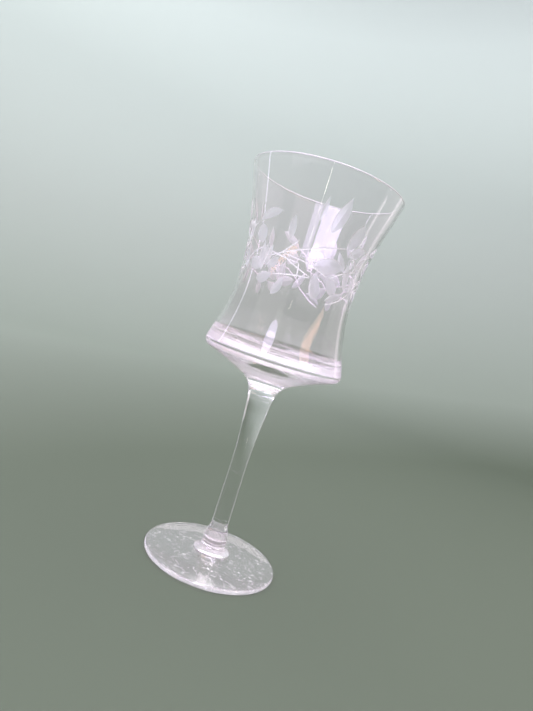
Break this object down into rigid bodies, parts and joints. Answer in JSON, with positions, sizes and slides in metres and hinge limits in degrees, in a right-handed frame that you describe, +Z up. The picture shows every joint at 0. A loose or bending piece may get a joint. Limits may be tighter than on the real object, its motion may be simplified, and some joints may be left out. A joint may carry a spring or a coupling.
{
  "type": "wine glass",
  "caption": "Clear stemmed wine glass with a waisted flaring bowl on a thick conical base, a slender round stem, a small conical pad and a round foot.",
  "frame": {"origin": "centre of the foot on the surface that the glass stands on", "axes": "+Z up along the axis of the glass, from the foot to the rim; X and Y are any two directions across it"},
  "size_m": [0.0782, 0.0782, 0.2],
  "materials": {
    "bowl_glass": "clear polished glass with a band of matt cut leaves",
    "stem_glass": "clear fire-polished glass",
    "foot_pad_glass": "clear fire-polished glass",
    "foot_glass": "clear polished glass with fine wear marks"
  },
  "bodies": {
    "root": {"bowl": "bowl_glass", "stem": "stem_glass", "foot_pad": "foot_pad_glass", "foot": "foot_glass"}
  },
  "joints": []
}
